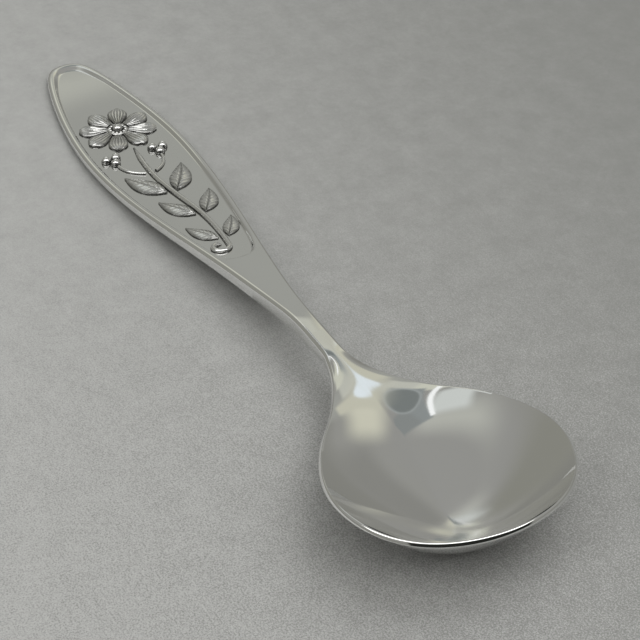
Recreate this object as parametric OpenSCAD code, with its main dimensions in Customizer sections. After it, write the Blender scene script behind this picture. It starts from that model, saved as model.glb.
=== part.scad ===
// A baby's feeding spoon in silver: a pear-shaped bowl, and a leaf-shaped handle whose sunken panel
// carries a flower sprig in relief. Lengths are in millimetres.
// The origin is the middle of the small flat under the bowl, +X runs to the front of the bowl, +Z is up.
// The spoon lies on the plane z = 0, on that flat and on a second one under the handle's tip.

/* [Handle] */
// Length of the handle, from its tip to its joint with the bowl
handle_len = 93; // [80:1:110]
// Breadth of the handle where it is widest
handle_w = 17.2; // [15:0.2:20]
// Thickness of the handle at its tip
tip_t = 1.5; // [1.2:0.1:2.2]
// Width of the rounded edge round the handle
edge_w = 0.7; // [0.4:0.05:0.9]
// Fall of the rounded edge on the handle
edge_fall = 0.5; // [0.2:0.05:0.6]
// Height of the rounding under the handle's edges
under_round = 0.6; // [0.3:0.05:0.8]

/* [Neck] */
// Breadth of the neck
neck_w = 3.2; // [2.6:0.1:5]
// Thickness of the neck
neck_t = 2.9; // [2.4:0.1:4]
// Height of the neck's top above the table
neck_h = 7.1; // [6:0.1:10]
// Length over which the neck stays straight on each side of the joint
neck_straight = 5; // [4:0.5:7]

/* [Bowl] */
// Length of the bowl, from its joint with the handle to its front
bowl_len = 52; // [46:1:60]
// Breadth of the bowl where it is widest
bowl_w = 33.8; // [28:0.2:40]
// Height of the bowl's rim above the table
rim_h = 10.5; // [9:0.1:14]
// Distance from the joint forward to the bowl's lowest point
rest_back = 38; // [32:0.5:42]
// Thickness of the bowl's floor over the flat that it rests on
floor_t = 1; // [0.8:0.05:1.6]
// Width of the rounded bevel on the bowl's lip
lip_w = 0.4; // [0.2:0.05:0.6]
// Fall of the bevel from the lip's inner line to its outer side
lip_fall = 0.5; // [0.1:0.05:0.7]
// Height of the lip's upright side below the bevel
lip_side = 0.05; // [0.05:0.05:0.6]
// Depth of metal polished away to make each resting flat
rest_cut = 0.2; // [0.05:0.01:0.3]

/* [Panel] */
// Breadth of the raised border round the panel
border_w = 1.1; // [0.9:0.05:1.6]
// Depth of the sunken panel below the border
panel_depth = 0.45; // [0.2:0.05:0.7]
// Breadth of the sloping wall round the panel
panel_run = 0.2; // [0.1:0.05:0.4]
// Distance from the joint to the panel's rounded end
panel_gap = 24; // [18:0.5:30]
// Length of the panel's rounded end
panel_end_len = 9; // [6:0.5:12]

/* [Flower] */
// Distance from the handle's tip to the middle of the flower
flower_at = 23; // [18:0.5:28]
// Number of petals
petal_count = 8; // [6:1:9]
// Distance from the flower's middle to the ends of its petals
flower_r = 6.3; // [5:0.1:6.6]
// Gap between petals where they are widest
petal_gap = 0.6; // [0.5:0.05:1]
// Height of a petal's crown above its own edge
petal_h = 0.55; // [0.3:0.05:0.9]
// Radius of the flower's button
button_r = 1.7; // [1.2:0.1:1.9]
// Height of the flower's button
button_h = 1.25; // [0.8:0.05:1.6]

/* [Sprig] */
// Breadth of the stem
stem_w = 0.9; // [0.6:0.05:1.2]
// Height of the stem's crown above its own edge
stem_h = 0.4; // [0.2:0.05:0.6]
// Sideways swing of the stem
stem_sway = 0.7; // [0:0.1:1]
// Radius of the curl at the stem's root
curl_r = 1.5; // [1.2:0.1:1.8]
// Length of the longest leaf
leaf_len = 8.2; // [6:0.2:8.6]
// Breadth of the longest leaf
leaf_w = 3.5; // [2:0.1:3.6]
// Height of a leaf's crown above its own edge
leaf_h = 0.5; // [0.3:0.05:0.8]
// Distance along the stem from one pair of leaves to the next
leaf_pitch = 8.6; // [7:0.2:10]
// Length of the tendrils beside the flower
tendril_len = 5; // [4:0.1:5.4]
// Radius of a berry
berry_r = 0.8; // [0.5:0.05:0.9]
// Thickness of the solder between the relief and the panel, left open
solder_t = 0.02; // [0.01:0.01:0.05]

/* [Hidden] */

silver = "#b4b6b2";
aged_silver = "#8c8e8b";

// Outline and side line of the handle, from the neck to the tip: distance from the joint as a share of
// the length, half breadth as a share of half the breadth, and height as a share of the rise to the neck
handle_shares = [
    [0.13, 0.27, 0.82], [0.26, 0.47, 0.64], [0.40, 0.73, 0.40], [0.55, 0.96, 0.14],
    [0.70, 1.04, 0.04], [0.85, 0.82, -0.01], [0.95, 0.55, 0.02], [1.00, 0.34, 0.03]
];
// The same for the bowl, from the neck to the front, with heights as shares of the rise to the rim
bowl_shares = [
    [0.10, 0.10, -0.04], [0.19, 0.165, -0.16], [0.35, 0.45, 0.09], [0.45, 0.72, 0.66],
    [0.67, 1.09, 0.99], [0.90, 0.87, 0.96], [1.00, 0.32, 1.05]
];
// Share of the bowl's length over which the neck's thick side thins to the lip
side_fade_share = 0.36;
// How the bowl's walls rise to the rim: 1 is straight, more is flatter inside and steeper at the rim
wall_power = 2;
// How late the floor falls from the neck to the lowest point: 1 is an even wave, more is later
keel_power = 3;
// Size of each pair of leaves, as a share of the next pair's towards the flower
leaf_shrink_share = 0.86;
// Distance from the first pair of leaves to the tendrils, as a share of the longest leaf
leaf_back_share = 0.86;
// Half breadth of a leaf and of a petal along their length, as shares of their widest
leaf_outline_shares = [0.10, 0.55, 0.86, 1.00, 0.97, 0.83, 0.60, 0.33, 0.06];
petal_outline_shares = [0.36, 0.50, 0.66, 0.82, 0.94, 1.00, 0.94, 0.72, 0.28];
// Where along a petal it is widest
petal_widest_share = 0.62;
// Edge height of the relief as a share of each piece's crown
relief_edge_share = 0.45;
// Radius at the inner end of the stem's curl, as a share of the curl's own
curl_close_share = 0.5;
// Breadth and height of a tendril as a share of the stem's
tendril_size_share = 0.67;
// Radius of the ball on the flower's button, as a share of the button's height, and height of a berry's
// seat, as a share of its radius
button_ball_share = 0.67;
berry_seat_share = 0.33;
// Distance from the tip to the end of the handle's middle line, as a share of the handle's breadth
spine_end_share = 0.33;

// Angles at which leaves and tendrils leave the stem, how far each then bends, and the turn of the
// root's curl
leaf_angle = 38;
leaf_bend = 18;
tendril_angle = 66;
tendril_turn = 62;
curl_turn = 300;
berry_angle = 30;
// Squareness of the panel's rounded end: 1 is an ellipse, less is squarer
panel_end_power = 0.55;
// Squareness of the rounding under the handle's edges
under_power = 6;

// Clearance between neighbouring pieces of the relief
relief_gap = 0.12;
// Overrun of a cut past the metal
overrun = 5;

// Steps along half of each outline, across the bowl's floor, round the edge and across a relief piece
handle_steps = 60;
bowl_steps = 61;
floor_steps = 10;
edge_steps = 3;
under_steps = 7;
cross_steps = 3;
stem_steps = 18;
curl_steps = 14;
tendril_steps = 8;
round_fn = 48;
// Steps over which the stem narrows at its root and at its top
root_taper_steps = 5;
top_taper_steps = 4;

joint_x = -rest_back;
tip_x = joint_x - handle_len;
neck_side = neck_t - under_round;

function between(a, b, r) = a + r * (b - a);

// A smooth curve drawn by a list of control points, with t counted in control points
function spline(c, t) =
    let (i = min(floor(t), len(c) - 4), u = t - i)
    (pow(1 - u, 3) * c[i] + (3 * pow(u, 3) - 6 * pow(u, 2) + 4) * c[i + 1]
     + (-3 * pow(u, 3) + 3 * pow(u, 2) + 3 * u + 1) * c[i + 2] + pow(u, 3) * c[i + 3]) / 6;

// Where such a curve crosses the axis, when its controls end in c and go on as their own mirror image
function reach(c) = (c[len(c) - 2][0] + 23 * c[len(c) - 1][0]) / 24;

function flip(p) = [p[0], -p[1], p[2]];
function fade(s) = pow(1 - min(1, s / side_fade_share), 2);
function falling(q) = (1 + cos(180 * q)) / 2;

handle_controls = [
    for (i = [len(handle_shares) - 1 : -1 : 0])
        let (s = handle_shares[i])
        [joint_x - handle_len * s[0] / reach(handle_shares), s[1] * handle_w / 2,
         tip_t + s[2] * (neck_h - tip_t)]
];
neck_controls = [for (s = [-1, 0, 1]) [joint_x + s * neck_straight, neck_w / 2, neck_h]];
bowl_controls = [
    for (s = bowl_shares)
        [joint_x + bowl_len * s[0] / reach(bowl_shares), s[1] * bowl_w / 2,
         neck_h + s[2] * (rim_h - neck_h)]
];
half_controls = concat(handle_controls, neck_controls, bowl_controls);
last = len(half_controls) - 1;
controls = concat(
    [flip(half_controls[1]), flip(half_controls[0])], half_controls,
    [flip(half_controls[last]), flip(half_controls[last - 1])]
);
t_tip = 1 / 2;
t_joint = len(handle_controls) + 2;
t_front = last + 3 / 2;

t_step = 1 / 100;

// A point of the side line, with the outward direction of the outline there
function side(t) =
    let (
        p = spline(controls, t), d = spline(controls, t + t_step) - spline(controls, t - t_step),
        l = norm([d[0], d[1]])
    )
    [p, [-d[1] / l, d[0] / l, 0]];
handle_side = [for (i = [0 : handle_steps]) side(between(t_tip, t_joint, i / handle_steps))];
bowl_side = [for (i = [0 : bowl_steps]) side(between(t_front, t_joint, i / bowl_steps))];

// Height of the handle's top, its breadth and its underside at a place along it
top_table = [for (s = handle_side) [s[0][0], s[0][2]]];
breadth_table = [for (s = handle_side) [s[0][0], s[0][1]]];
function top_z(x) = lookup(x, top_table);
function thick(x) = tip_t + (neck_t - tip_t) * pow((x - tip_x) / handle_len, 2);
function under_z(x) = top_z(x) - thick(x);
function panel_z(x) = top_z(x) - panel_depth + solder_t;

// Whether a triangle of the skin has three corners apart and doesn't stand on the axis, where the two
// halves of the skin meet and their triangles cancel
function has_area(p) =
    p[0] != p[1] && p[1] != p[2] && p[2] != p[0] && max(abs(p[0][1]), abs(p[1][1]), abs(p[2][1])) > 0;

// Closed skin over rings of points, from a ring folded on the axis to another, with a flat face where
// the rings end at the joint. turned is true where the rings run the other way round.
module skin(half_rings, turned) {
    rings = [
        for (h = half_rings)
            concat([for (i = [len(h) - 1 : -1 : 1]) flip(h[i])], h)
    ];
    count = len(rings[0]);
    rows = len(rings);
    middle = [joint_x, 0, neck_h - neck_t / 2];
    points = concat([for (r = rings) each r], [middle]);
    web = [
        for (k = [0 : rows - 2], i = [0 : count - 2])
            let (a = k * count + i, b = a + count)
            each [[a, a + 1, b + 1], [a, b + 1, b]]
    ];
    cap = [
        for (k = [0 : rows - 2])
            let (a = k * count, b = a + count)
            each [[a, b, rows * count], [b + count - 1, a + count - 1, rows * count]]
    ];
    whole = [
        for (f = concat(web, cap))
            if (has_area([for (v = f) points[v]]))
                turned ? [f[0], f[2], f[1]] : f
    ];
    polyhedron(points = points, faces = whole);
}

// The half-space below the table, to cut the resting flats
module below_table() {
    translate([tip_x - overrun, -bowl_w / 2 - overrun, -overrun])
        cube([handle_len + bowl_len + 2 * overrun, bowl_w + 2 * overrun, overrun]);
}

// A point of an edge at a point of the side line: share 0 is the edge's inner line, share 1 the side
function edge_at(s, breadth, drop, share) = s[0] - breadth * (1 - share) * s[1] - [0, 0, drop];
function rounded(share) = 1 - sqrt(1 - pow(share, 2));

// Bowl
function wall_rise(r) = pow(r, wall_power);

// Share of the bowl's length at a point of its rim, and the point of the keel line that it is joined to,
// which is straight across at the neck and draws together at the lowest point
function along(s) = (s[0][0] - joint_x) / bowl_len;
function keel(s) = 1 - pow(max(0, 1 - along(s)), bowl_len / rest_back);
function keel_x(s) = joint_x + rest_back * keel(s);
function floor_z(s) = floor_t + (neck_h - floor_t) * falling(pow(keel(s), keel_power));
function keel_t(s) = between(floor_t + rest_cut, neck_t, falling(keel(s)));

// The lip's bevel, which becomes the handle's rounded edge at the neck
function bowl_edge(s, share) =
    let (f = fade(along(s)), drop = between(lip_fall * pow(share, 2), edge_fall * rounded(share), f))
    edge_at(s, between(lip_w, edge_w, f), drop, share);
function bowl_top(s, r) =
    let (a = [keel_x(s), 0, floor_z(s)], b = bowl_edge(s, 0), p = between(a, b, r))
    [p[0], p[1], a[2] + (b[2] - a[2]) * wall_rise(r)];
function bowl_under(s, r) =
    let (
        f = fade(along(s)), a = [keel_x(s), 0, floor_z(s) - keel_t(s)],
        b = s[0] - [0, 0, between(lip_fall + lip_side, neck_side, f)], p = between(a, b, r)
    )
    [p[0], p[1], a[2] + (b[2] - a[2]) * between(wall_rise(r), pow(r, under_power), f)];

module bowl() {
    rings = concat(
        [for (j = [0 : floor_steps]) [for (s = bowl_side) bowl_top(s, j / floor_steps)]],
        [for (j = [1 : edge_steps]) [for (s = bowl_side) bowl_edge(s, sin(90 * j / edge_steps))]],
        [for (j = [under_steps : -1 : 0]) [for (s = bowl_side) bowl_under(s, j / under_steps)]]
    );
    color(silver)
        difference() {
            skin(rings, true);
            below_table();
        }
}

// Handle
panel_far_x = joint_x - panel_gap;
panel_bend_x = panel_far_x - panel_end_len;

// Stations of the side where the panel's end starts to round, and where it closes on the axis
bend_at = len([for (s = handle_side) if (s[0][0] < panel_bend_x) s]);
far_at = len([for (s = handle_side) if (s[0][0] < panel_far_x) s]);

// The point of the panel's outline that goes with station i, moved inward by inset: along the border,
// round the panel's end, and past the end on the axis
function panel_point(i, inset) =
    i < bend_at ? handle_side[i][0] - inset * handle_side[i][1] :
    i > far_at ? [handle_side[i][0][0], 0, 0] :
    let (
        a = 90 * (far_at - i) / (far_at - bend_at + 1),
        x = panel_bend_x + (panel_end_len + border_w - inset) * pow(cos(a), panel_end_power),
        y = (lookup(x, breadth_table) - inset) * pow(sin(a), panel_end_power)
    )
    [x, y, 0];
function panel_drop(i, depth) = i <= far_at ? depth : 0;
function spine_x(x) = max(x, tip_x + handle_w * spine_end_share);

function handle_spine(i) =
    let (x = spine_x(panel_point(i, border_w + panel_run)[0]))
    [x, 0, top_z(x) - panel_drop(i, panel_depth)];
function handle_panel(i, inset, depth) =
    let (p = panel_point(i, inset))
    [p[0], p[1], top_z(p[0]) - panel_drop(i, depth)];
function handle_under(s, r) =
    let (p = between([spine_x(s[0][0]), 0, 0], s[0], r))
    [p[0], p[1], under_z(p[0]) + under_round * pow(r, under_power)];

module handle() {
    stations = [0 : handle_steps];
    rings = concat(
        [[for (i = stations) handle_spine(i)]],
        [[for (i = stations) handle_panel(i, border_w + panel_run, panel_depth)]],
        [[for (i = stations) handle_panel(i, border_w, 0)]],
        [
            for (j = [0 : edge_steps])
                let (share = sin(90 * j / edge_steps))
                [for (s = handle_side) edge_at(s, edge_w, edge_fall * rounded(share), share)]
        ],
        [for (j = [under_steps : -1 : 0]) [for (s = handle_side) handle_under(s, j / under_steps)]]
    );
    color(silver)
        difference() {
            skin(rings, false);
            below_table();
        }
}

// Relief: a strip with a crowned top and a flat back lying on the panel along a path. breadths holds the
// half breadth at each point of the path and heights the crown's height there.
module strip(path, breadths, heights, edge) {
    n = len(path);
    rows = [
        for (i = [0 : n - 1])
            let (
                d = path[min(i + 1, n - 1)] - path[max(i - 1, 0)], l = norm(d),
                across = breadths[i] * [-d[1] / l, d[0] / l],
                spots = [for (j = [-cross_steps : cross_steps]) path[i] + across * j / cross_steps]
            )
            concat(
                [
                    for (j = [0 : 2 * cross_steps])
                        let (q = spots[j], r = j / cross_steps - 1)
                        [q[0], q[1], panel_z(q[0]) + edge + heights[i] * (1 - pow(r, 2))]
                ],
                [for (q = [spots[2 * cross_steps], spots[0]]) [q[0], q[1], panel_z(q[0])]]
            )
    ];
    count = len(rows[0]);
    walls = [
        for (i = [0 : n - 2], j = [0 : count - 1])
            let (a = i * count, b = a + count, k = (j + 1) % count)
            each [[a + j, a + k, b + k], [a + j, b + k, b + j]]
    ];
    ends = [
        for (j = [0 : count - 3])
            each [
                [count - 1, j + 1, j],
                [n * count - 1, (n - 1) * count + j, (n - 1) * count + j + 1]
            ]
    ];
    polyhedron(points = [for (r = rows) each r], faces = concat(walls, ends));
}

// A curved path from a place, heading at an angle that turns steadily by turn over its length
function bent_path(start, angle, length, turn, steps) = [
    for (i = [0 : steps])
        let (q = i / steps, a = angle + turn * q / 2)
        start + length * q * [cos(a), sin(a)]
];
function scaled(list, size) = [for (v = list) v * size];

module outlined_strip(path, shares, width, height) {
    strip(path, scaled(shares, width / 2), scaled(shares, height), relief_edge_share * height);
}

flower_x = tip_x + flower_at;
stem_top_x = flower_x + flower_r + relief_gap;
root_x = panel_far_x - border_w - panel_run - curl_r * 2;
stem_len = root_x - stem_top_x;
function stem_point(q) =
    [between(root_x, stem_top_x, q), stem_sway * sin(360 * q)];
function stem_heading(q) =
    let (d = stem_point(q) - stem_point(q - t_step))
    atan2(d[1], d[0]);

// Place for a turned piece of radius r on the panel, tipped to the slope there
module on_panel(x, y, r) {
    slope = atan2(panel_z(x + r) - panel_z(x - r), 2 * r);
    translate([x, y, panel_z(x)])
        rotate([0, -slope, 0])
            children();
}

module petals() {
    inner = button_r + relief_gap;
    petal_w = 2 * between(inner, flower_r, petal_widest_share) * tan(180 / petal_count) - petal_gap;
    shares = petal_outline_shares;
    color(aged_silver)
        for (i = [0 : petal_count - 1]) {
            a = 360 * (i + 1 / 2) / petal_count;
            heading = [cos(a), sin(a)];
            path = bent_path([flower_x, 0] + inner * heading, a, flower_r - inner, 0, len(shares) - 1);
            outlined_strip(path, shares, petal_w, petal_h);
        }
}

// A round seat with a half ball on it
module boss(seat_r, seat_h, ball_r) {
    cylinder(r = seat_r, h = seat_h, $fn = round_fn);
    translate([0, 0, seat_h])
        difference() {
            sphere(r = ball_r, $fn = round_fn);
            translate([-ball_r, -ball_r, -2 * ball_r])
                cube(2 * ball_r);
        }
}

module button() {
    ball_r = button_h * button_ball_share;
    color(aged_silver)
        on_panel(flower_x, 0, button_r)
            boss(button_r, button_h - ball_r, ball_r);
}

module stem() {
    start = stem_point(0);
    heading = stem_heading(0);
    centre = start + curl_r * [-sin(heading), cos(heading)];
    curl = [
        for (i = [curl_steps : -1 : 1])
            let (q = i / curl_steps, a = heading - 90 - curl_turn * q)
            centre + curl_r * between(1, curl_close_share, q) * [cos(a), sin(a)]
    ];
    path = concat(curl, [for (i = [0 : stem_steps]) stem_point(i / stem_steps)]);
    ends = [
        for (i = [0 : len(path) - 1])
            min(1, (i + 2) / root_taper_steps, (len(path) + 1 - i) / top_taper_steps)
    ];
    color(aged_silver)
        strip(path, scaled(ends, stem_w / 2), scaled(ends, stem_h), relief_edge_share * stem_h);
}

leaf_steps = len(leaf_outline_shares) - 1;
tendril_w = stem_w * tendril_size_share;
// Distances from the stem's top to the tendrils, whose berries clear the petals, and to the first leaves
tendril_back = tendril_len + 4 * berry_r;
leaf_back = tendril_back + leaf_back_share * leaf_len;

// Where a leaf or tendril starts beside the stem, at a distance back from the stem's top
function side_start(back, side) =
    stem_point(1 - back / stem_len) + [0, side * (stem_w / 2 + relief_gap + tendril_w / 2)];

// As many pairs as the stem has room for, each smaller than the one before
module leaves() {
    color(aged_silver)
        for (i = [0 : floor((stem_len - leaf_back) / leaf_pitch)], side = [-1, 1]) {
            size = pow(leaf_shrink_share, i);
            path = bent_path(side_start(leaf_back + i * leaf_pitch, side), 180 - side * leaf_angle,
                             leaf_len * size, side * leaf_bend, leaf_steps);
            outlined_strip(path, leaf_outline_shares, leaf_w * size, leaf_h * size);
        }
}

function tendril_path(side) =
    bent_path(side_start(tendril_back, side), 180 - side * tendril_angle, tendril_len,
              side * tendril_turn, tendril_steps);

module tendrils() {
    color(aged_silver)
        for (side = [-1, 1])
            outlined_strip(
                tendril_path(side), [for (i = [0 : tendril_steps]) 1], tendril_w,
                stem_h * tendril_size_share
            );
}

// Three berries side by side at the end of each tendril
module berries() {
    spread = (2 * berry_r + relief_gap) / (2 * sin(berry_angle));
    color(aged_silver)
        for (side = [-1, 1]) {
            path = tendril_path(side);
            d = path[tendril_steps] - path[tendril_steps - 1];
            heading = atan2(d[1], d[0]);
            first = path[tendril_steps] + (berry_r + relief_gap) * [cos(heading), sin(heading)];
            others = [
                for (a = [heading - berry_angle, heading + berry_angle])
                    first + spread * [cos(a), sin(a)]
            ];
            for (p = concat([first], others))
                on_panel(p[0], p[1], berry_r)
                    boss(berry_r, berry_r * berry_seat_share, berry_r);
        }
}

bowl();
handle();
petals();
button();
stem();
tendrils();
leaves();
berries();
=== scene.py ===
"""A baby's feeding spoon in polished silver, lying on a pale table in soft studio light.

The bowl and the handle repeat the formulas of the CAD source with a finer skin, so that the polish
reflects smoothly, and the relief gets its creases, veins and grains. Sizes are in millimetres and become
metres where a mesh is made.
"""
from math import atan2, cos, degrees, floor, hypot, pi, radians, sin, sqrt, tan

import bmesh
import bpy
import numpy as np
from mathutils import Matrix, Vector


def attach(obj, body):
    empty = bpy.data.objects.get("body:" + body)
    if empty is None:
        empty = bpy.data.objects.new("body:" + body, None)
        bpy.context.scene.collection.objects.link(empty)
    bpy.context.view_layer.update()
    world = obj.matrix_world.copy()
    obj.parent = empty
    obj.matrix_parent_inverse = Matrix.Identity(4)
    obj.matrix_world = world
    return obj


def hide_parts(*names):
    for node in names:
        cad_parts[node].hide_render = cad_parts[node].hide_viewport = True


MM = 0.001
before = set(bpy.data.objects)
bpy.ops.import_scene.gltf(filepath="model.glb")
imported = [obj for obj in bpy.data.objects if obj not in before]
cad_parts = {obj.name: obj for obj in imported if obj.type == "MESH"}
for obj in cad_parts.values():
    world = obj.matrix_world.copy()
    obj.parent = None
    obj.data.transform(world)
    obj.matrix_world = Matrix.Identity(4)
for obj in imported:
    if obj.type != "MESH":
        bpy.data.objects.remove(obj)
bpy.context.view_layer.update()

# Handle
HANDLE_LEN = 93
HANDLE_W = 17.2
TIP_T = 1.5
EDGE_W = 0.7
EDGE_FALL = 0.5
UNDER_ROUND = 0.6
# Neck
NECK_W = 3.2
NECK_T = 2.9
NECK_H = 7.1
NECK_STRAIGHT = 5
# Bowl
BOWL_LEN = 52
BOWL_W = 33.8
RIM_H = 10.5
REST_BACK = 38
FLOOR_T = 1
LIP_W = 0.4
LIP_FALL = 0.5
LIP_SIDE = 0.05
REST_CUT = 0.2
# Panel
BORDER_W = 1.1
PANEL_DEPTH = 0.45
PANEL_RUN = 0.2
PANEL_GAP = 24
PANEL_END_LEN = 9
WALL_SOFT = 0.14
TIP_WALL_RUN = 0.75
TIP_WALL_LEN = 9
# Flower
FLOWER_AT = 23
PETAL_COUNT = 8
FLOWER_R = 6.3
PETAL_GAP = 0.6
PETAL_H = 0.55
BUTTON_R = 1.7
BUTTON_H = 1.25
# Sprig
STEM_W = 0.9
STEM_H = 0.4
STEM_SWAY = 0.7
CURL_R = 1.5
LEAF_LEN = 8.2
LEAF_W = 3.5
LEAF_H = 0.5
LEAF_PITCH = 8.6
TENDRIL_LEN = 5
BERRY_R = 0.8
SOLDER_T = 0.02
RELIEF_GAP = 0.12

HANDLE_SHARES = [
    (0.13, 0.27, 0.82), (0.26, 0.47, 0.64), (0.40, 0.73, 0.40), (0.55, 0.96, 0.14),
    (0.70, 1.04, 0.04), (0.85, 0.82, -0.01), (0.95, 0.55, 0.02), (1.00, 0.34, 0.03),
]
BOWL_SHARES = [
    (0.10, 0.10, -0.04), (0.19, 0.165, -0.16), (0.35, 0.45, 0.09), (0.45, 0.72, 0.66),
    (0.67, 1.09, 0.99), (0.90, 0.87, 0.96), (1.00, 0.32, 1.05),
]
SIDE_FADE_SHARE = 0.36
WALL_POWER = 2
KEEL_POWER = 3
PANEL_END_POWER = 0.55
UNDER_POWER = 6
SPINE_END_SHARE = 0.33
PANEL_FLOOR_SHARES = [0, 0.5, 0.9, 0.98]
LEAF_SHRINK_SHARE = 0.86
LEAF_BACK_SHARE = 0.86
LEAF_OUTLINE_SHARES = [0.10, 0.55, 0.86, 1.00, 0.97, 0.83, 0.60, 0.33, 0.06]
PETAL_OUTLINE_SHARES = [0.36, 0.50, 0.66, 0.82, 0.94, 1.00, 0.94, 0.72, 0.28]
PETAL_WIDEST_SHARE = 0.62
RELIEF_EDGE_SHARE = 0.45
CURL_CLOSE_SHARE = 0.5
TENDRIL_SIZE_SHARE = 0.67
BUTTON_BALL_SHARE = 0.67
BERRY_SEAT_SHARE = 0.33
LEAF_ANGLE = 38
LEAF_BEND = 18
TENDRIL_ANGLE = 66
TENDRIL_TURN = 62
CURL_TURN = 300
BERRY_ANGLE = 30

JOINT_X = -REST_BACK
TIP_X = JOINT_X - HANDLE_LEN
NECK_SIDE = NECK_T - UNDER_ROUND

# Steps of the fine skins
HANDLE_STEPS = 260
BOWL_STEPS = 244
FLOOR_STEPS = 44
EDGE_STEPS = 8
UNDER_STEPS = 24
WALL_STEPS = 6
SHARP_DEGREES = 40
# Steps of the relief: along a leaf, across half of it, along the stem, along its curl, round its section,
# along a tendril, and round and up a turned piece
ALONG_STEPS = 48
ACROSS_STEPS = 14
STEM_STEPS = 90
CURL_STEPS = 60
SECTION_STEPS = 13
TENDRIL_STEPS = 30
TURN_STEPS = 40
DOME_STEPS = 10
# The stem thins over these steps at its curl and at the flower, from a blunt end of a few steps' thickness
CURL_TAPER_STEPS = 14
TOP_TAPER_STEPS = 12
TAPER_START = 4
# Chasing of the relief: how much of the crown each cut takes away, and how many there are
RIB_CUT = 0.5
VEIN_CUT = 0.3
VEIN_COUNT = 7
VEIN_SLANT = 1.6
FOLD_CUT = 0.34
FOLD_COUNT = 3
RIM_ROLL = 0.18
BEAD_COUNT = 12
BEAD_R = 0.27
PIT_SHARE = 0.3


# Meshes

def bare_piece(name, points, edges=(), faces=(), marks=None):
    """A piece from points in millimetres, with a number for each point under each name in marks."""
    mesh = bpy.data.meshes.new(name)
    mesh.from_pydata([tuple(MM * float(c) for c in p) for p in points], edges, [tuple(f) for f in faces])
    for title, values in (marks or {}).items():
        kind, field = ("FLOAT_VECTOR", "vector") if np.ndim(values) > 1 else ("FLOAT", "value")
        flat = np.ravel(values).astype(np.float32)
        mesh.attributes.new(title, kind, "POINT").data.foreach_set(field, flat)
    piece = bpy.data.objects.new(name, mesh)
    bpy.context.scene.collection.objects.link(piece)
    return piece


def mesh_piece(name, points, faces, merge=True, marks=None):
    """A bare piece with its doubles merged and its faces outwards, shaded smooth."""
    piece = bare_piece(name, points, (), faces, marks)
    neaten(piece.data, merge)
    return piece


def neaten(mesh, merge=True):
    work = bmesh.new()
    work.from_mesh(mesh)
    if merge:
        bmesh.ops.remove_doubles(work, verts=work.verts, dist=0.0005 * MM)
        bmesh.ops.dissolve_degenerate(work, edges=work.edges, dist=0.0005 * MM)
    bmesh.ops.recalc_face_normals(work, faces=work.faces)
    work.to_mesh(mesh)
    work.free()
    mesh.shade_smooth()
    mesh.set_sharp_from_angle(angle=radians(SHARP_DEGREES))


def folded(rings):
    """Half rings, each from the axis at one end to the joint at the other, opened to full rings."""
    return [[(x, -y, z) for x, y, z in ring[:0:-1]] + [tuple(p) for p in ring] for ring in rings]


def skin(name, half_rings):
    """Closed skin over rings of points, with a flat face where the rings end at the joint."""
    rings = folded(half_rings)
    count = len(rings[0])
    middle = count * len(rings)
    points = [p for ring in rings for p in ring] + [(JOINT_X, 0, NECK_H - NECK_T / 2)]
    faces = []
    for k in range(len(rings) - 1):
        a, b = k * count, (k + 1) * count
        faces += [(a + i, a + i + 1, b + i + 1, b + i) for i in range(count - 1)]
        faces += [(a, b, middle), (b + count - 1, a + count - 1, middle)]
    return mesh_piece(name, points, faces)


# Outline and side line, as in the CAD source

def between(a, b, r):
    return a + r * (b - a)


def spline(controls, t):
    i = min(int(floor(t)), len(controls) - 4)
    u = t - i
    c = controls[i:i + 4]
    weights = ((1 - u) ** 3, 3 * u ** 3 - 6 * u ** 2 + 4, -3 * u ** 3 + 3 * u ** 2 + 3 * u + 1, u ** 3)
    return sum(w * p for w, p in zip(weights, c)) / 6


def reach(shares):
    return (shares[-2][0] + 23 * shares[-1][0]) / 24


def flip(p):
    return p * np.array((1, -1, 1))


def outline_controls():
    handle = [
        np.array((JOINT_X - HANDLE_LEN * s[0] / reach(HANDLE_SHARES), s[1] * HANDLE_W / 2,
                  TIP_T + s[2] * (NECK_H - TIP_T)))
        for s in reversed(HANDLE_SHARES)
    ]
    neck = [np.array((JOINT_X + s * NECK_STRAIGHT, NECK_W / 2, NECK_H)) for s in (-1, 0, 1)]
    bowl = [
        np.array((JOINT_X + BOWL_LEN * s[0] / reach(BOWL_SHARES), s[1] * BOWL_W / 2,
                  NECK_H + s[2] * (RIM_H - NECK_H)))
        for s in BOWL_SHARES
    ]
    half = handle + neck + bowl
    return [flip(half[1]), flip(half[0])] + half + [flip(half[-1]), flip(half[-2])]


CONTROLS = outline_controls()
T_TIP = 0.5
T_JOINT = len(HANDLE_SHARES) + 2
T_FRONT = len(CONTROLS) - 3.5
T_STEP = 0.01


def side(t):
    """A point of the side line, with the outward direction of the outline there."""
    d = spline(CONTROLS, t + T_STEP) - spline(CONTROLS, t - T_STEP)
    size = hypot(d[0], d[1])
    return spline(CONTROLS, t), np.array((-d[1] / size, d[0] / size, 0))


HANDLE_SIDE = [side(between(T_TIP, T_JOINT, i / HANDLE_STEPS)) for i in range(HANDLE_STEPS + 1)]
BOWL_SIDE = [side(between(T_FRONT, T_JOINT, i / BOWL_STEPS)) for i in range(BOWL_STEPS + 1)]
SIDE_X = np.array([p[0] for p, _ in HANDLE_SIDE])
SIDE_Y = np.array([p[1] for p, _ in HANDLE_SIDE])
SIDE_Z = np.array([p[2] for p, _ in HANDLE_SIDE])


def top_z(x):
    return float(np.interp(x, SIDE_X, SIDE_Z))


def breadth(x):
    return float(np.interp(x, SIDE_X, SIDE_Y))


def under_z(x):
    return top_z(x) - TIP_T - (NECK_T - TIP_T) * ((x - TIP_X) / HANDLE_LEN) ** 2


def panel_z(x):
    return top_z(x) - PANEL_DEPTH + SOLDER_T


def fade(share):
    return (1 - min(1, share / SIDE_FADE_SHARE)) ** 2


def falling(q):
    return (1 + cos(pi * q)) / 2


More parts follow.
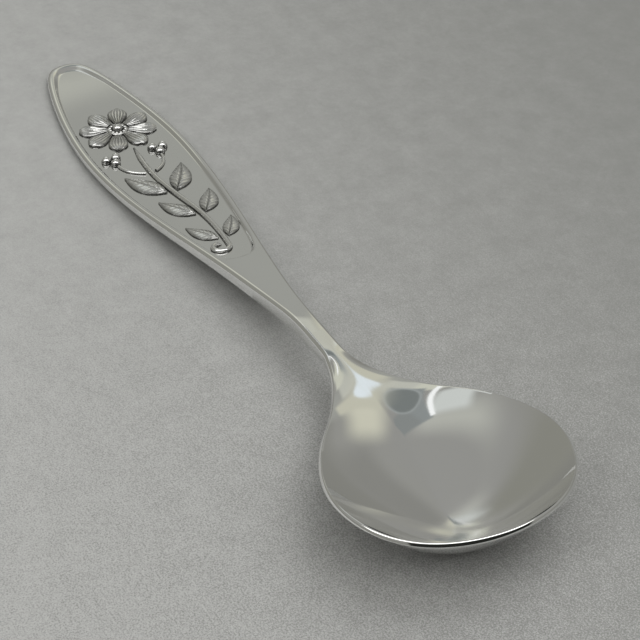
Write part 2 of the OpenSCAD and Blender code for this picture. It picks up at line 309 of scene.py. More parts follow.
def on_table(p):
    """The resting flats lie on the table."""
    return p[0], p[1], max(0, p[2])


def edge_at(s, breadth, drop, share):
    p, out = s
    return p - breadth * (1 - share) * out - np.array((0, 0, drop))


def rounded(share):
    return 1 - sqrt(1 - share ** 2)


# Bowl

def wall_rise(r):
    return r ** WALL_POWER


def along(s):
    return (s[0][0] - JOINT_X) / BOWL_LEN


def keel(s):
    return 1 - max(0, 1 - along(s)) ** (BOWL_LEN / REST_BACK)


def floor_z(q):
    return FLOOR_T + (NECK_H - FLOOR_T) * falling(q ** KEEL_POWER)


def bowl_top(s, r):
    q = keel(s)
    a = np.array((JOINT_X + REST_BACK * q, 0, floor_z(q)))
    b = bowl_edge(s, 0)
    p = between(a, b, r)
    p[2] = between(a[2], b[2], wall_rise(r))
    return p


def bowl_edge(s, share):
    f = fade(along(s))
    drop = between(LIP_FALL * share ** 2, EDGE_FALL * rounded(share), f)
    return edge_at(s, between(LIP_W, EDGE_W, f), drop, share)


def bowl_under(s, r):
    q = keel(s)
    f = fade(along(s))
    a = np.array((JOINT_X + REST_BACK * q, 0, floor_z(q) - between(FLOOR_T + REST_CUT, NECK_T, falling(q))))
    b = s[0] - np.array((0, 0, between(LIP_FALL + LIP_SIDE, NECK_SIDE, f)))
    p = between(a, b, r)
    p[2] = between(a[2], b[2], between(wall_rise(r), r ** UNDER_POWER, f))
    return on_table(p)


def bowl():
    rings = [[bowl_top(s, j / FLOOR_STEPS) for s in BOWL_SIDE] for j in range(FLOOR_STEPS + 1)]
    rings += [
        [bowl_edge(s, sin(pi / 2 * j / EDGE_STEPS)) for s in BOWL_SIDE] for j in range(1, EDGE_STEPS + 1)
    ]
    rings += [[bowl_under(s, j / UNDER_STEPS) for s in BOWL_SIDE] for j in range(UNDER_STEPS, -1, -1)]
    return skin("bowl_shell", rings)


# Handle

PANEL_FAR_X = JOINT_X - PANEL_GAP
PANEL_BEND_X = PANEL_FAR_X - PANEL_END_LEN
BEND_AT = int((SIDE_X < PANEL_BEND_X).sum())
FAR_AT = int((SIDE_X < PANEL_FAR_X).sum())


def panel_point(i, inset):
    """The point of the panel's outline that goes with station i, moved inward by inset."""
    p, out = HANDLE_SIDE[i]
    if i < BEND_AT:
        return p - inset * out
    if i > FAR_AT:
        return np.array((p[0], 0, 0))
    a = pi / 2 * (FAR_AT - i) / (FAR_AT - BEND_AT + 1)
    x = PANEL_BEND_X + (PANEL_END_LEN + BORDER_W - inset) * cos(a) ** PANEL_END_POWER
    return np.array((x, (breadth(x) - inset) * sin(a) ** PANEL_END_POWER, 0))


def spine_x(x):
    return max(x, TIP_X + HANDLE_W * SPINE_END_SHARE)


def wall_run(i):
    """How far the panel's wall runs: further round the handle's tip, where its step is gentle."""
    past_tip = min(1, (HANDLE_SIDE[i][0][0] - TIP_X) / TIP_WALL_LEN)
    return PANEL_RUN + 2 * WALL_SOFT + TIP_WALL_RUN * falling(past_tip)


def panel_wall(i, share):
    """A point of the panel's wall, which runs from the border at share 0 to the sunken floor at share 1."""
    p = panel_point(i, BORDER_W - WALL_SOFT + share * wall_run(i))
    drop = PANEL_DEPTH * share ** 2 * (3 - 2 * share) if i <= FAR_AT else 0
    return p[0], p[1], top_z(p[0]) - drop


def panel_floor(i, share):
    """A point of the sunken floor, from the handle's middle line at share 0 to the panel's wall at 1."""
    x, y, _ = panel_wall(i, 1)
    x = between(spine_x(x), x, share)
    return x, y * share, top_z(x) - (PANEL_DEPTH if i <= FAR_AT else 0)


def handle_under(s, r):
    p = between(np.array((spine_x(s[0][0]), 0, 0)), s[0], r)
    return on_table((p[0], p[1], under_z(p[0]) + UNDER_ROUND * r ** UNDER_POWER))


def handle():
    stations = range(HANDLE_STEPS + 1)
    rings = [[panel_floor(i, share) for i in stations] for share in PANEL_FLOOR_SHARES]
    rings += [[panel_wall(i, j / WALL_STEPS) for i in stations] for j in range(WALL_STEPS, -1, -1)]
    for j in range(EDGE_STEPS + 1):
        share = sin(pi / 2 * j / EDGE_STEPS)
        rings.append([edge_at(s, EDGE_W, EDGE_FALL * rounded(share), share) for s in HANDLE_SIDE])
    rings += [[handle_under(s, j / UNDER_STEPS) for s in HANDLE_SIDE] for j in range(UNDER_STEPS, -1, -1)]
    return skin("handle_shell", rings)


# Geometry Nodes

class Tree:
    """A node tree that is written as calls, one for each node."""

    def __init__(self, tree):
        self.tree = tree
        tree.nodes.clear()

    def add(self, kind, settings=None, inputs=None, output=0):
        """Adds a node with its settings, then its sockets' values or links, and returns one output."""
        node = self.tree.nodes.new(kind)
        for name, value in (settings or {}).items():
            if name == "stops":
                ramp_stops(node.color_ramp, value)
            else:
                setattr(node, name, value)
        for name, value in (inputs or {}).items():
            if isinstance(value, Wire):
                self.tree.links.new(value.socket, node.inputs[name])
            else:
                node.inputs[name].default_value = value
        return Wire(self, node.outputs[output]) if node.outputs else None


def new_growth(name, inputs):
    """An empty Geometry Nodes tree with named inputs, and the wires that they come on."""
    group = bpy.data.node_groups.new(name, "GeometryNodeTree")
    for title, kind in inputs.items():
        group.interface.new_socket(title, in_out="INPUT", socket_type="NodeSocket" + kind)
    group.interface.new_socket("Piece", in_out="OUTPUT", socket_type="NodeSocketGeometry")
    growth = Tree(group)
    source = growth.add("NodeGroupInput").node
    return growth, {title: Wire(growth, source.outputs[title]) for title in inputs}


def end_growth(growth, shape, finish):
    whole = growth.add("GeometryNodeRealizeInstances", None, {"Geometry": shape})
    done = growth.add("GeometryNodeSetMaterial", None, {"Geometry": whole, "Material": finish})
    growth.add("NodeGroupOutput", None, {"Piece": done})
    return growth.tree


def mark(growth, name, kind="FLOAT"):
    return growth.add("GeometryNodeInputNamedAttribute", {"data_type": kind}, {"Name": name})


def copies_growth():
    """A copy of a unit piece on each point, turned and sized by the point's marks."""
    g, given = new_growth("copies", {
        "Points": "Geometry", "Unit": "Object", "Size": "Float", "Finish": "Material",
    })
    unit = g.add("GeometryNodeObjectInfo", None, {"Object": given["Unit"]}, output="Geometry")
    turn = g.add("ShaderNodeCombineXYZ", None, {"Z": mark(g, "turn")})
    size = g.add("ShaderNodeVectorMath", {"operation": "SCALE"},
                 {0: mark(g, "size", "FLOAT_VECTOR"), "Scale": given["Size"]})
    copies = g.add("GeometryNodeInstanceOnPoints", None,
                   {"Points": given["Points"], "Instance": unit, "Rotation": turn, "Scale": size})
    return end_growth(g, copies, given["Finish"])


def sweep_growth():
    """A half-round wire with a flat back along a path, narrowed by the path's taper."""
    g, given = new_growth("half_round_wire", {
        "Path": "Geometry", "Breadth": "Float", "Height": "Float", "Steps": "Int", "Finish": "Material",
    })
    arc = g.add("GeometryNodeCurveArc", {"mode": "RADIUS"},
                {"Resolution": given["Steps"], "Radius": 1.0, "Start Angle": 0.0, "Sweep Angle": -pi})
    closed = g.add("GeometryNodeSetSplineCyclic", None, {"Geometry": arc, "Cyclic": True})
    half = given["Breadth"] * 0.5
    scale = g.add("ShaderNodeCombineXYZ", None, {"X": half, "Y": given["Height"], "Z": 1.0})
    section = g.add("GeometryNodeTransform", None, {"Geometry": closed, "Scale": scale})
    path = g.add("GeometryNodeMeshToCurve", None, {"Mesh": given["Path"]})
    level = g.add("GeometryNodeSetCurveNormal", {"mode": "Z_UP"}, {"Curve": path})
    wire = g.add("GeometryNodeCurveToMesh", None,
                 {"Curve": level, "Profile Curve": section, "Scale": mark(g, "taper"), "Fill Caps": True})
    return end_growth(g, wire, given["Finish"])


def grown(piece, tree, given):
    """Turns a piece into the plain mesh that a Geometry Nodes tree makes of it."""
    modifier = piece.modifiers.new("growth", "NODES")
    modifier.node_group = tree
    for item in tree.interface.items_tree:
        if item.in_out == "INPUT" and item.name in given:
            modifier[item.identifier] = given[item.name]
    graph = bpy.context.evaluated_depsgraph_get()
    bare = piece.data
    piece.data = bpy.data.meshes.new_from_object(piece.evaluated_get(graph))
    piece.modifiers.remove(modifier)
    bpy.data.meshes.remove(bare)
    return piece


# Relief: every piece is made flat, at z = 0, and then lifted onto the panel

FLOWER_X = TIP_X + FLOWER_AT
PETAL_INNER = BUTTON_R + RELIEF_GAP
STEM_TOP_X = FLOWER_X + FLOWER_R + RELIEF_GAP
ROOT_X = PANEL_FAR_X - BORDER_W - PANEL_RUN - CURL_R * 2
STEM_LEN = ROOT_X - STEM_TOP_X
TENDRIL_W = STEM_W * TENDRIL_SIZE_SHARE
TENDRIL_BACK = TENDRIL_LEN + 4 * BERRY_R
LEAF_BACK = TENDRIL_BACK + LEAF_BACK_SHARE * LEAF_LEN


def heading(angle):
    """The direction at an angle in degrees from the x axis, on the flat."""
    return np.array((cos(radians(angle)), sin(radians(angle))))


def bent_path(start, angle, length, turn, steps):
    q = np.linspace(0, 1, steps + 1)
    return [start + length * k * heading(angle + turn * k / 2) for k in q]


def at_share(shares, u):
    """A smooth curve through evenly spaced shares, read at u from 0 to 1."""
    t = u * (len(shares) - 1)
    i = min(int(t), len(shares) - 2)
    v = t - i
    a, b, c, d = (shares[min(max(i + k, 0), len(shares) - 1)] for k in (-1, 0, 1, 2))
    bend = a - 2.5 * b + 2 * c - d / 2
    twist = 1.5 * (b - c) + (d - a) / 2
    return b + v * (c - a) / 2 + v ** 2 * bend + v ** 3 * twist


def chased(name, path, shares, width, height, left):
    """A crowned strip with a flat back along a path. left(u, r) is the share of the metal that the
    chasing tool leaves at u along it and r across it, from -1 to 1."""
    n = len(path)
    points, wear = [], []
    crown = (1 + RELIEF_EDGE_SHARE) * height
    for i, place in enumerate(path):
        u = i / (n - 1)
        d = path[min(i + 1, n - 1)] - path[max(i - 1, 0)]
        across = at_share(shares, u) * width / 2 * np.array((-d[1], d[0])) / hypot(d[0], d[1])
        for j in range(-ACROSS_STEPS, ACROSS_STEPS + 1):
            r = j / ACROSS_STEPS
            z = (RELIEF_EDGE_SHARE * height + at_share(shares, u) * height * (1 - r * r)) * left(u, r)
            points.append((*(place + across * r), z))
            # the share is small low on the strip, in the chasing cuts and at the foot, for tarnish and
            # painted shade there
            wear.append(z / crown * left(u, r))
        for r in (1, -1):
            points.append((*(place + across * r), 0))
            wear.append(0)
    count = 2 * ACROSS_STEPS + 3
    faces = [
        (i * count + j, i * count + (j + 1) % count, (i + 1) * count + (j + 1) % count, (i + 1) * count + j)
        for i in range(n - 1) for j in range(count)
    ]
    faces += [tuple(range(count)), tuple(range((n - 1) * count, n * count))]
    return mesh_piece(name, points, faces, marks={"wear": wear})


def turned(name, profile, wear):
    """A piece turned round the z axis from a profile of radius and height, from its foot to its top."""
    points = [(r * cos(a), r * sin(a), z) for r, z in profile
              for a in np.linspace(0, 2 * pi, TURN_STEPS, endpoint=False)]
    faces = [
        (k * TURN_STEPS + i, k * TURN_STEPS + (i + 1) % TURN_STEPS,
         (k + 1) * TURN_STEPS + (i + 1) % TURN_STEPS, (k + 1) * TURN_STEPS + i)
        for k in range(len(profile) - 1) for i in range(TURN_STEPS)
    ]
    faces.append(tuple(range(TURN_STEPS)))
    return mesh_piece(name, points, faces, marks={"wear": np.repeat(wear, TURN_STEPS)})


def ball_profile(radius, seat, pit=0):
    """Profile of a half ball on a seat, with a shallow pit in its crown, and a share for each point that sets
    tarnish and painted shade, low near the seat and in the pit, high on the crown.
    """
    angles = np.linspace(0, pi / 2, DOME_STEPS + 1)
    dip = [pit * radius * max(0, 1 - cos(a) / PIT_SHARE) ** 2 for a in angles]
    profile = [(radius * cos(a), seat + radius * sin(a) - d) for a, d in zip(angles, dip)]
    return profile, [sin(a) - (1.6 if pit else 0) * d / radius for a, d in zip(angles, dip)]


def placed(name, unit, places, finish):
    """Copies of a unit piece at places of x, y, turn in degrees, size, and side, which is -1 to mirror."""
    sizes = [(size, side * size, size) for _, _, _, size, side in places]
    turns = [radians(turn) for _, _, turn, _, _ in places]
    piece = bare_piece(name, [(x, y, 0) for x, y, _, _, _ in places], marks={"turn": turns, "size": sizes})
    grown(piece, COPIES, {"Unit": unit, "Size": 1.0, "Finish": finish})
    bpy.data.objects.remove(unit)
    return piece


def drawn(name, paths, tapers, width, height, finish):
    """Half-round wires along flat paths, rubbed bright on their crowns, with tarnish and painted shade
    towards their foot.
    """
    points = [(*p, 0) for path in paths for p in path]
    edges = []
    for path in paths:
        first = edges[-1][1] + 1 if edges else 0
        edges += [(first + i, first + i + 1) for i in range(len(path) - 1)]
    piece = bare_piece(name, points, edges, marks={"taper": [v for taper in tapers for v in taper]})
    crown = (1 + RELIEF_EDGE_SHARE) * height
    grown(piece, SWEEP, {
        "Breadth": width * MM, "Height": crown * MM, "Steps": SECTION_STEPS, "Finish": finish,
    })
    z = np.array([v.co.z for v in piece.data.vertices], dtype=np.float32)
    # the share grows from the foot to the crown: tarnish and painted shade low, rubbed bright high
    piece.data.attributes.new("wear", "FLOAT", "POINT").data.foreach_set("value", z / (crown * MM))
    return piece


def lifted(piece):
    """Lays a flat piece on the sloping panel."""
    for v in piece.data.vertices:
        v.co.z += panel_z(v.co.x / MM) * MM
    neaten(piece.data)
    return piece


def folds(u, r):
    """A petal: lengthwise folds that fade towards its rolled rim."""
    fold = FOLD_CUT * (0.5 + 0.5 * cos(2 * pi * FOLD_COUNT * abs(r))) ** 2 * (1 - u) ** 0.6
    return 1 - fold - RIM_ROLL * sin(pi * u) * (1 - r * r)


def veins(u, r):
    """A leaf: a deep middle rib with slanting veins on both sides."""
    rib = RIB_CUT * np.exp(-(r / 0.13) ** 2) * (1 - u) ** 0.4
    vein = VEIN_CUT * (0.5 + 0.5 * cos(2 * pi * (VEIN_COUNT * u - VEIN_SLANT * abs(r)))) ** 3
    return 1 - rib - vein * min(1, 3 * abs(r)) * (1 - u)


def petals(finish):
    spread = between(PETAL_INNER, FLOWER_R, PETAL_WIDEST_SHARE)
    width = 2 * spread * sin(pi / PETAL_COUNT) / cos(pi / PETAL_COUNT) - PETAL_GAP
    path = bent_path(np.array((PETAL_INNER, 0)), 0, FLOWER_R - PETAL_INNER, 0, ALONG_STEPS)
    unit = chased("petal", path, PETAL_OUTLINE_SHARES, width, PETAL_H, folds)
    places = [(FLOWER_X, 0, 360 * (i + 0.5) / PETAL_COUNT, 1, 1) for i in range(PETAL_COUNT)]
    return placed("petal_ring", unit, places, finish)


def button():
    ball_r = BUTTON_H * BUTTON_BALL_SHARE
    seat = BUTTON_H - ball_r
    dome, wear = ball_profile(ball_r, seat * 0.8)
    foot = [(BUTTON_R, 0), (BUTTON_R, seat * 0.6), (BUTTON_R * 0.94, seat * 0.85), (BUTTON_R * 0.86, seat),
            (BUTTON_R * 0.8, seat * 0.8), (ball_r * 1.08, seat * 0.62)]
    # the seat's groove and the foot get a small share: tarnish and painted shade there
    return turned("flower_button", foot + dome, [0, 0.35, 0.8, 1, 0.3, 0] + wear)


def beads(finish):
    """A ring of small beads round the flower's button."""
    ball_r = BUTTON_H * BUTTON_BALL_SHARE
    unit = turned("bead", *ball_profile(BEAD_R, (BUTTON_H - ball_r) * 0.6))
    ring = (BUTTON_R + ball_r) / 2
    places = [
        (*(np.array((FLOWER_X, 0)) + ring * heading(360 * i / BEAD_COUNT)), 0, 1, 1)
        for i in range(BEAD_COUNT)
    ]
    return placed("button_beads", unit, places, finish)


def stem_point(q):
    return np.array((between(ROOT_X, STEM_TOP_X, q), STEM_SWAY * sin(2 * pi * q)))


def stem(finish):
    d = stem_point(0) - stem_point(-T_STEP)
    way = degrees(atan2(d[1], d[0]))
    centre = stem_point(0) + CURL_R * heading(way + 90)
    curl = [
        centre + CURL_R * between(1, CURL_CLOSE_SHARE, q) * heading(way - 90 - CURL_TURN * q)
        for q in np.linspace(1, 0, CURL_STEPS, endpoint=False)
    ]
    path = curl + [stem_point(q) for q in np.linspace(0, 1, STEM_STEPS + 1)]
    taper = [
        min(1, (i + TAPER_START) / CURL_TAPER_STEPS, (len(path) - 1 + TAPER_START - i) / TOP_TAPER_STEPS)
        for i in range(len(path))
    ]
    return drawn("sprig_stem", [path], [taper], STEM_W, STEM_H, finish)


def side_start(back, side):
    return stem_point(1 - back / STEM_LEN) + np.array((0, side * (STEM_W / 2 + RELIEF_GAP + TENDRIL_W / 2)))


def leaves(finish):
    path = bent_path(np.zeros(2), 0, LEAF_LEN, LEAF_BEND, ALONG_STEPS)
    unit = chased("leaf", path, LEAF_OUTLINE_SHARES, LEAF_W, LEAF_H, veins)
    pairs = int((STEM_LEN - LEAF_BACK) // LEAF_PITCH) + 1
    places = [
        (*side_start(LEAF_BACK + i * LEAF_PITCH, side), side * (180 - LEAF_ANGLE),
         LEAF_SHRINK_SHARE ** i, side)
        for i in range(pairs) for side in (-1, 1)
    ]
    return placed("sprig_leaves", unit, places, finish)


def tendril_path(side):
    return bent_path(side_start(TENDRIL_BACK, side), 180 - side * TENDRIL_ANGLE, TENDRIL_LEN,
                     side * TENDRIL_TURN, TENDRIL_STEPS)


def tendrils(finish):
    paths = [tendril_path(side) for side in (-1, 1)]
    tapers = [[1] * len(path) for path in paths]
    return drawn("sprig_tendrils", paths, tapers, TENDRIL_W, STEM_H * TENDRIL_SIZE_SHARE, finish)


def berries(finish):
    """Three berries at the end of each tendril, each on its seat and with a pit in its crown."""
    seat = BERRY_R * BERRY_SEAT_SHARE
    dome, wear = ball_profile(BERRY_R * 0.94, seat, 0.3)
    foot = [(BERRY_R, 0), (BERRY_R, seat * 0.7), (BERRY_R * 0.97, seat)]
    # the seat and foot of each berry get a small share: tarnish and painted shade there
    unit = turned("berry", foot + dome, [0, 0.3, 0.4] + wear)
    spread = (2 * BERRY_R + RELIEF_GAP) / (2 * sin(radians(BERRY_ANGLE)))
    places = []
    for side in (-1, 1):
        path = tendril_path(side)
        d = path[-1] - path[-2]
        way = degrees(atan2(d[1], d[0]))
        first = path[-1] + (BERRY_R + RELIEF_GAP) * heading(way)
        spots = [first] + [first + spread * heading(way + a) for a in (-BERRY_ANGLE, BERRY_ANGLE)]
        places += [(*spot, 0, 1, 1) for spot in spots]
    return placed("sprig_berries", unit, places, finish)


# Finishes

class Wire:
    """A socket of a tree. A sum written with it adds the Math nodes of that sum."""

    def __init__(self, tree, socket):
        self.tree = tree
        self.socket = socket
        self.node = socket.node

    def sum(self, operation, *values):
        return self.tree.add("ShaderNodeMath", {"operation": operation}, dict(enumerate(values)))

    def __add__(self, other):
        return self.sum("ADD", self, other)

    def __radd__(self, other):
        return self.sum("ADD", other, self)

    def __sub__(self, other):
        return self.sum("SUBTRACT", self, other)

    def __rsub__(self, other):
        return self.sum("SUBTRACT", other, self)

    def __mul__(self, other):
        return self.sum("MULTIPLY", self, other)

    def __rmul__(self, other):
        return self.sum("MULTIPLY", other, self)

    def __truediv__(self, other):
        return self.sum("DIVIDE", self, other)

    def __pow__(self, other):
        return self.sum("POWER", self, other)

    def __abs__(self):
        return self.sum("ABSOLUTE", self)


class Finish(Tree):
    """One material, or the world, and the nodes that make it."""

    def __init__(self, owner):
        self.owner = owner
        owner.use_nodes = True
        super().__init__(owner.node_tree)

    def ramp(self, value, stops):
        return self.add("ShaderNodeValToRGB", {"stops": stops}, {"Fac": value})

    def soft_step(self, value, low, high):
        """1 below low, 0 above high, and a soft slope between them."""
        return self.add("ShaderNodeMapRange", {"interpolation_type": "SMOOTHSTEP"},
                        {"Value": value, "From Min": low, "From Max": high, "To Min": 1.0, "To Max": 0.0})

    def along(self, where, axis):
        return self.add("ShaderNodeVectorMath", {"operation": "DOT_PRODUCT"},
                        {0: where, 1: axis}, output="Value")

    def mix(self, share, a, b):
        return self.add("ShaderNodeMix", {"data_type": "RGBA"}, {0: share, 6: a, 7: b}, output=2)

    def place(self, scale=(1, 1, 1), turn=(0, 0, 0)):
        """Object coordinates, scaled and turned."""
        here = self.add("ShaderNodeTexCoord", output="Object")
        return self.add("ShaderNodeMapping", None, {"Vector": here, "Scale": scale, "Rotation": turn})

    def noise(self, where, scale, detail=2, rough=0.5):
        return self.add("ShaderNodeTexNoise", None,
                        {"Vector": where, "Scale": scale, "Detail": detail, "Roughness": rough})


def ramp_stops(ramp, stops):
    while len(ramp.elements) < len(stops):
        ramp.elements.new(0.5)
    for element, (place, grey) in zip(ramp.elements, stops):
        element.position = place
        element.color = grey if isinstance(grey, tuple) else (grey, grey, grey, 1)


def new_finish(name):
    return Finish(bpy.data.materials.new(name))


SILVER = (0.95, 0.95, 0.94, 1)
DULLED = (0.90, 0.90, 0.88, 1)
# the colour of tarnish, which the relief's low places also take as painted shade
TARNISH_AND_SHADE = (0.115, 0.115, 0.11, 1)
POLISHED = 0.045
SATIN = 0.36
# How closely the marks of the silver and the stone are set, counted to the metre
HAIRLINES = (60, 900, 900)
CLOUDS = 90
POLISH_GRAIN = 4000
TARNISH_PATCHES = 1500
CHASED_GRAIN = 6000
HATCHING = (9000, 1200, 1200)
STONE_CLOUDS = 240
STONE_SPECKS = 1000
STONE_GRAIN = 3800

# Where the bowl's floor is less polished, and how far from there it is fully so and no longer so
WORN_AT = (0.002, 0.0015, 0.0015)
WORN_FROM = 0.002
WORN_TO = 0.0065
WORN_ROUGH = 0.18


def polished_silver():
    """Hand-polished silver: hairlines along the piece, faint clouds, a softer polish on the bowl's floor."""
    f = new_finish("polished_silver")
    hairs = f.noise(f.place(HAIRLINES), 1, 3, 0.7)
    cloud = f.noise(f.place(), CLOUDS, 2, 0.6)
    grain = f.noise(f.place(), POLISH_GRAIN, 2, 0.5)
    away = f.add("ShaderNodeVectorMath", {"operation": "DISTANCE"},
                 {0: f.place(), 1: WORN_AT}, output="Value")
    worn = f.soft_step(away, WORN_FROM, WORN_TO)
    cloudy = f.ramp(cloud, [(0.42, 0), (0.72, 1)])
    hairy = f.ramp(hairs, [(0.5, 0), (0.78, 1)])
    bump = f.add("ShaderNodeBump", None,
                 {"Strength": 0.012, "Distance": 0.0001, "Height": hairs * 0.6 + grain * 0.4})
    shader = f.add("ShaderNodeBsdfPrincipled", None, {
        "Base Color": f.mix(cloudy * 0.35, SILVER, DULLED),
        "Metallic": 1.0,
        "Roughness": POLISHED + cloudy * 0.035 + hairy * 0.02 + worn * WORN_ROUGH,
        "Normal": bump,
    })
    f.add("ShaderNodeOutputMaterial", None, {"Surface": shader})
    return f.owner


def aged_silver():
    """Chased silver: tarnish and painted shade in the low places and at each piece's foot, the high ones
    rubbed bright.
    """
    f = new_finish("aged_silver")
    wear = f.add("ShaderNodeAttribute", {"attribute_name": "wear"}, output="Fac")
    patch = f.noise(f.place(), TARNISH_PATCHES, 3, 0.6)
    grain = f.noise(f.place(), CHASED_GRAIN, 2, 0.6)
    hatch = f.noise(f.place(HATCHING, (0, 0, 0.6)), 1, 2, 0.6)
    # painted shade along with real tarnish: the lower a point, the more it takes the tarnish colour
    bright = f.ramp(wear + (patch - 0.5) * 0.35, [(0.12, 0), (0.62, 1)])
    height = hatch * 0.5 + grain * 0.5
    bump = f.add("ShaderNodeBump", None, {"Strength": 0.25, "Distance": 0.00004, "Height": height})
    shader = f.add("ShaderNodeBsdfPrincipled", None, {
        "Base Color": f.mix(bright, TARNISH_AND_SHADE, SILVER),
        "Metallic": 1.0,
        "Roughness": SATIN - bright * 0.2,
        "Normal": bump,
    })
    f.add("ShaderNodeOutputMaterial", None, {"Surface": shader})
    return f.owner


# The table top's two tones, the side towards which painted light makes it paler, and the side towards which
# its grain gets coarser
STONE_DARK = (0.2, 0.202, 0.194, 1)
STONE_PALE = (0.42, 0.42, 0.413, 1)
TABLE_PAINTED_LIGHT_AZIMUTH = -100
TABLE_ROUGH_AZIMUTH = -27


def table_top():
    """Pale stone-grey table top, with painted light making it a little paler towards one side, and coarser in
    its grain towards another.
    """
    f = new_finish("table_top")
    here = f.place()
    cloud = f.noise(here, STONE_CLOUDS, 3, 0.6)
    speck = f.noise(here, STONE_SPECKS, 3, 0.8)
    grain = f.noise(here, STONE_GRAIN, 2, 0.9)
    # painted light: a broad gradient that makes the table top paler towards one side
    slope = f.along(here, facing(TABLE_PAINTED_LIGHT_AZIMUTH, 0)) * 5.5
    coarse = 1 - f.soft_step(f.along(here, facing(TABLE_ROUGH_AZIMUTH, 0)), -0.1, 0.02)
    uneven = (cloud - 0.5) * 0.4
    uneven = uneven + (speck - 0.5) * (0.3 + coarse * 0.6)
    uneven = uneven + (grain - 0.5) * (0.2 + coarse * 3.2)
    pale = f.mix(f.soft_step(0.525 + slope + uneven, 1.25, -0.05), STONE_DARK, STONE_PALE)
    bump = f.add("ShaderNodeBump", None, {"Strength": 0.2, "Distance": 0.0001, "Height": grain})
    shader = f.add("ShaderNodeBsdfPrincipled", None, {
        "Base Color": pale,
        "Roughness": 0.7,
        "Normal": bump,
    })
    f.add("ShaderNodeOutputMaterial", None, {"Surface": shader})
    return f.owner


# Camera, light and table

FOCAL = 135
SENSOR = 36
AIM = np.array((-48.46, 5.88, 0))
AIM_DISTANCE = 351.2
AZIMUTH = radians(-27.43)
ELEVATION = radians(36.97)
ROLL = radians(-0.47)


def camera():
    back = np.array((cos(ELEVATION) * cos(AZIMUTH), cos(ELEVATION) * sin(AZIMUTH), sin(ELEVATION)))
    right = np.array((-sin(AZIMUTH), cos(AZIMUTH), 0))
    up = np.cross(back, right)
    rolled_right = cos(ROLL) * right + sin(ROLL) * up
    rolled_up = cos(ROLL) * up - sin(ROLL) * right
    data = bpy.data.cameras.new("camera")
    data.lens = FOCAL
    data.sensor_width = SENSOR
    data.clip_start = 0.01
    rig = bpy.data.objects.new("camera", data)
    bpy.context.scene.collection.objects.link(rig)
    turn = Matrix(np.column_stack((rolled_right, rolled_up, back)).tolist()).to_4x4()
    rig.matrix_world = Matrix.Translation(Vector((AIM + AIM_DISTANCE * back) * MM)) @ turn
    bpy.context.scene.camera = rig


def facing(azimuth, elevation):
    a, e = radians(azimuth), radians(elevation)
    return Vector((cos(e) * cos(a), cos(e) * sin(a), sin(e)))


# Softboxes: name, azimuth and elevation in degrees, distance and size in metres, power in watts
LAMPS = [("key", 108, 62, 1.5, 1.3, 11), ("fill", -40, 55, 1.5, 2.2, 7)]


def lamp(name, azimuth, elevation, distance, size, power):
    """A square softbox, aimed at the spoon, that the silver doesn't mirror."""
    data = bpy.data.lights.new(name, "AREA")
    data.size = size
    data.energy = power
    rig = bpy.data.objects.new(name, data)
    bpy.context.scene.collection.objects.link(rig)
    rig.location = distance * facing(azimuth, elevation)
    rig.rotation_euler = facing(azimuth, elevation).to_track_quat("Z", "Y").to_euler()
    rig.visible_glossy = False


def tone(*levels):
    """A colour from its levels out of 255 as a screen shows them."""
    return tuple((v / 255) ** 2.2 for v in levels) + (1,)


def panel_share(f, here, azimuth, elevation, width, height, soft, is_round):
    """How much of a soft-edged panel of the room is seen in a direction, all in degrees."""
    ahead = facing(azimuth, elevation)
    across = facing(azimuth + 90, 0)
    depth = f.along(here, ahead)
    half_w, half_h, slope = (tan(radians(v / 2)) for v in (width, height, soft))
    x = abs(f.along(here, across) / depth)
    y = abs(f.along(here, ahead.cross(across)) / depth)
    in_front = depth.sum("GREATER_THAN", depth, 0.05)
    if is_round:
        away = ((x / half_w) ** 2 + (y / half_h) ** 2) ** 0.5
        return in_front * f.soft_step(away, 1 - slope / half_w, 1 + slope / half_w)
    in_width = f.soft_step(x, half_w - slope, half_w + slope)
    return in_front * in_width * f.soft_step(y, half_h - slope, half_h + slope)


# Tones of the room by height, from straight down at 0 to straight up at 1
WALL_TONES = [
    (0.0, tone(150, 150, 147)), (0.5, tone(129, 129, 124)), (0.62, tone(131, 131, 126)),
    (0.69, tone(145, 145, 141)), (0.82, tone(145, 145, 141)), (0.9, tone(145, 145, 142)),
    (1.0, tone(146, 146, 143)),
]
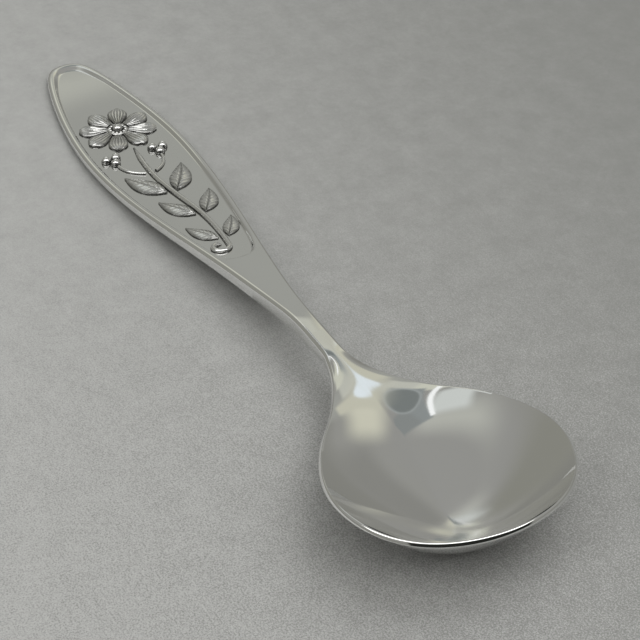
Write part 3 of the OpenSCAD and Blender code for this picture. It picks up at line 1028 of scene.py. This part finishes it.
# Soft panels of the room, each over the ones before it: azimuth, elevation, width, height and softness in
# degrees, colour, and whether it is round
PANELS = [
    # the wall behind the handle's tip, with a darker wall to each side
    (152.6, 21, 16, 24, 8, tone(153, 154, 149), False),
    (-150, 30, 34, 44, 24, tone(134, 134, 127), False),
    (108, 26, 26, 22, 12, tone(134, 134, 130), False),
    # pale ceiling and a pale board high behind the handle
    (-170, 68, 30, 12, 14, tone(176, 177, 170), False),
    (-172, 56, 16, 17, 5, tone(198, 202, 199), False),
    # cream wall behind the neck
    (159.5, 38, 12, 11, 3, tone(184, 185, 176), False),
    (170.5, 37, 13, 13, 3, tone(196, 197, 184), False),
    # dark board behind the handle, and a darker piece beside it
    (160.5, 53.5, 10, 25, 1.5, tone(137, 142, 142), False),
    (146, 60, 12, 12, 3, tone(132, 136, 135), False),
    # dark disc with a pale edge on that board
    (158.5, 49, 11.4, 16, 1, tone(158, 163, 163), True),
    (158.5, 49, 10.2, 14.5, 1, tone(118, 123, 122), True),
    # bright narrow strip beside the board
    (172.6, 51, 2.2, 27, 1, tone(248, 250, 250), False),
    # cream wall to the left of the handle, with a small pale lamp
    (139, 38, 18, 17, 12, tone(198, 197, 181), False),
    (147.5, 35, 6, 19, 3, tone(190, 189, 174), False),
    (149.8, 39.6, 3.2, 4.2, 0.8, tone(222, 231, 236), True),
    # dark room and bright ceiling on the camera's side
    (-6, 14, 92, 50, 8, tone(40, 41, 39), False),
    (-27, 62, 110, 28, 5, tone(360, 360, 356), False),
]


def studio():
    bpy.context.scene.view_settings.view_transform = "Standard"
    world = bpy.data.worlds.new("studio")
    bpy.context.scene.world = world
    f = Finish(world)
    here = f.add("ShaderNodeTexCoord", output="Generated")
    room = f.ramp(f.along(here, (0, 0, 1)) * 0.5 + 0.5, WALL_TONES)
    for *panel, colour, is_round in PANELS:
        room = f.mix(panel_share(f, here, *panel, is_round), room, colour)
    light = f.add("ShaderNodeBackground", None, {"Color": room, "Strength": 1.0})
    f.add("ShaderNodeOutputWorld", None, {"Surface": light})


TABLE_HALF = 3000


def table():
    corners = [(x * TABLE_HALF, y * TABLE_HALF, 0) for x, y in ((-1, -1), (1, -1), (1, 1), (-1, 1))]
    piece = mesh_piece("table", corners, [(0, 1, 2, 3)], merge=False)
    piece.data.materials.append(table_top())


camera()
studio()
table()
for softbox in LAMPS:
    lamp(*softbox)

silver = polished_silver()
aged = aged_silver()
COPIES = copies_growth()
SWEEP = sweep_growth()
turned_button = button()
turned_button.data.transform(Matrix.Translation((FLOWER_X * MM, 0, 0)))
for piece, node in ((bowl(), "bowl"), (handle(), "handle")):
    piece.data.materials.append(silver)
    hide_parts(node)
    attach(piece, "root")
for piece, node in (
    (petals(aged), "petals"), (turned_button, "button"), (beads(aged), None), (stem(aged), "stem"),
    (tendrils(aged), "tendrils"), (leaves(aged), "leaves"), (berries(aged), "berries"),
):
    lifted(piece)
    if not piece.data.materials:
        piece.data.materials.append(aged)
    if node:
        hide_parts(node)
    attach(piece, "root")
